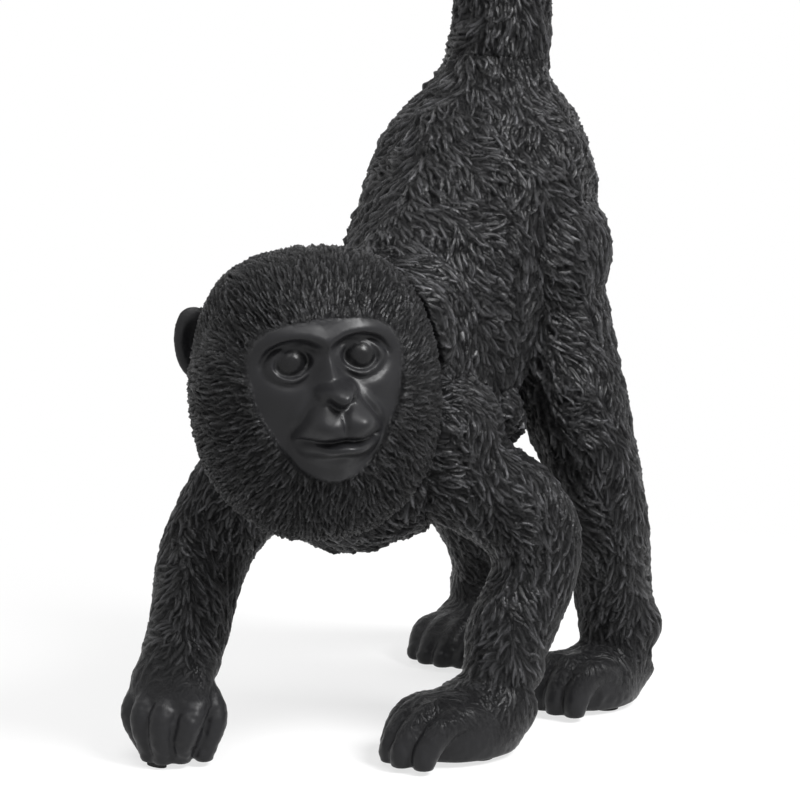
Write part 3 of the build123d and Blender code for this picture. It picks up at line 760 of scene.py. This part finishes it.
# %% Felt
felt, nodes, links, shader = material("black felt")
fuzz = speckled(nodes, 1800.0, 0.010, 0.040)
links.new(fuzz.outputs["Toned"], shader.inputs["Base Color"])
shader.inputs["Roughness"].default_value = 0.95
nap = nodes.new("ShaderNodeBump")
nap.inputs["Distance"].default_value = 0.3 * MM
links.new(fuzz.outputs["Grain"], nap.inputs["Height"])
links.new(nap.outputs["Normal"], shader.inputs["Normal"])

print("nodes of the felt", len(nodes))

# %% [markdown]
# The right fist stands on its fingertips, which are slimmer than their pad. A smaller oval dot in the
# same place, with its edges rounded a little, stands in for it.

# %% Felt dot under the fist
DOT_SHARE, DOT_EDGE = 0.72, 0.2 * MM
low, high = (Vector(corner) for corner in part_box("right_hand_pad"))
bm = bmesh.new()
circle = bmesh.ops.create_circle(bm, cap_ends=True, segments=40, radius=0.5)["verts"]
oval = Matrix.Diagonal(((high.x - low.x) * DOT_SHARE, (high.y - low.y) * DOT_SHARE, 1, 1))
under = Matrix.Translation(((low.x + high.x) / 2, (low.y + high.y) / 2, low.z))
bmesh.ops.transform(bm, matrix=under @ oval, verts=circle)
grown = bmesh.ops.extrude_face_region(bm, geom=bm.faces[:])
raised = [part for part in grown["geom"] if isinstance(part, bmesh.types.BMVert)]
bmesh.ops.translate(bm, vec=(0, 0, high.z - low.z), verts=raised)
bmesh.ops.recalc_face_normals(bm, faces=bm.faces)
rims = [line for line in bm.edges if abs(line.verts[0].co.z - line.verts[1].co.z) < 1e-7]
bmesh.ops.bevel(bm, geom=rims, offset=DOT_EDGE, affect="EDGES", segments=2, profile=0.5, material=-1)
dot_mesh = bpy.data.meshes.new("right_hand_dot")
bm.to_mesh(dot_mesh)
bm.free()
dot = bpy.data.objects.new("right_hand_dot", dot_mesh)
scene.collection.objects.link(dot)
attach(dot, "root")
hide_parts("right_hand_pad")
dot_mesh.materials.append(felt)
print("felt dot", len(dot_mesh.polygons), "faces", [round(value / MM, 1) for value in (*low, *high)])

# %% [markdown]
# The pins and the tail's rod are plain drawn steel, hidden in the castings. Their meshes stay as they
# are.

# %% Steel, and the finishes of the small pieces
steel, nodes, links, shader = material("drawn steel")
drawn = speckled(nodes, 2500.0, 0.28, 0.45)
shader.inputs["Metallic"].default_value = 1.0
shader.inputs["Base Color"].default_value = (0.55, 0.55, 0.56, 1)
links.new(drawn.outputs["Toned"], shader.inputs["Roughness"])
finishes = {"pad": felt, "pin": steel, "rod": steel}
for node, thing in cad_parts.items():
    finish = finishes.get(node.split("_")[-1])
    if finish:
        thing.data.materials.clear()
        thing.data.materials.append(finish)
        print(node, finish.name)

# %% [markdown]
# The table is white and runs into a white background, so its far part only glows for rays that are seen.

# %% Table
bm = bmesh.new()
bmesh.ops.create_grid(bm, x_segments=1, y_segments=1, size=3.0)
floor_mesh = bpy.data.meshes.new("table")
bm.to_mesh(floor_mesh)
bm.free()
table = bpy.data.objects.new("table", floor_mesh)
scene.collection.objects.link(table)
white, nodes, links, shader = material("white table")
shader.inputs["Base Color"].default_value = (0.90, 0.90, 0.90, 1)
shader.inputs["Roughness"].default_value = 0.8
shader.inputs["Specular IOR Level"].default_value = 0.2
glow = nodes.new("ShaderNodeEmission")
away = nodes.new("ShaderNodeVectorMath")
away.operation = "LENGTH"
links.new(nodes.new("ShaderNodeTexCoord").outputs["Object"], away.inputs[0])


def seen(nodes, links):
    """One for rays from the camera, and for those that are reflected or pass through glass."""
    rays = nodes.new("ShaderNodeLightPath")
    found = rays.outputs["Is Camera Ray"]
    for other in ("Is Glossy Ray", "Is Transmission Ray"):
        either = nodes.new("ShaderNodeMath")
        either.operation = "MAXIMUM"
        links.new(found, either.inputs[0])
        links.new(rays.outputs[other], either.inputs[1])
        found = either.outputs[0]
    return found


far = ramp(nodes, links, away.outputs["Value"], 0.09, 0.26, 0.72, 1)
fade = times(nodes, links, far, seen(nodes, links))
blend = nodes.new("ShaderNodeMixShader")
links.new(fade, blend.inputs["Fac"])
links.new(shader.outputs["BSDF"], blend.inputs[1])
links.new(glow.outputs["Emission"], blend.inputs[2])
links.new(blend.outputs["Shader"], nodes["Material Output"].inputs["Surface"])
floor_mesh.materials.append(white)
print("nodes of the table", len(nodes))

# %% [markdown]
# One large soft lamp stands high on the right, a weaker one above, and the white surroundings fill the
# shadows.

# %% Lamps and surroundings
def lamp(name, place, size, watts):
    light = bpy.data.lights.new(name, "AREA")
    light.shape = "DISK"
    light.size = size
    light.energy = watts
    thing = bpy.data.objects.new(name, light)
    thing.location = place
    thing.rotation_euler = (AIM - thing.location).to_track_quat("-Z", "Y").to_euler()
    scene.collection.objects.link(thing)


lamp("key", AIM + Vector((0.85, 0.05, 0.85)), 0.5, 24.0)
lamp("top", AIM + Vector((0.15, -0.35, 1.1)), 0.8, 9.0)
world = bpy.data.worlds.new("white room")
scene.world = world
world.use_nodes = True
nodes, links = world.node_tree.nodes, world.node_tree.links
back = nodes["Background"]
back.inputs["Color"].default_value = (1, 1, 1, 1)
strength = nodes.new("ShaderNodeMapRange")
strength.inputs["To Min"].default_value = 0.30
strength.inputs["To Max"].default_value = 1.0
links.new(seen(nodes, links), strength.inputs["Value"])
links.new(strength.outputs["Result"], back.inputs["Strength"])
print("lamps", [light.name for light in bpy.data.lights])
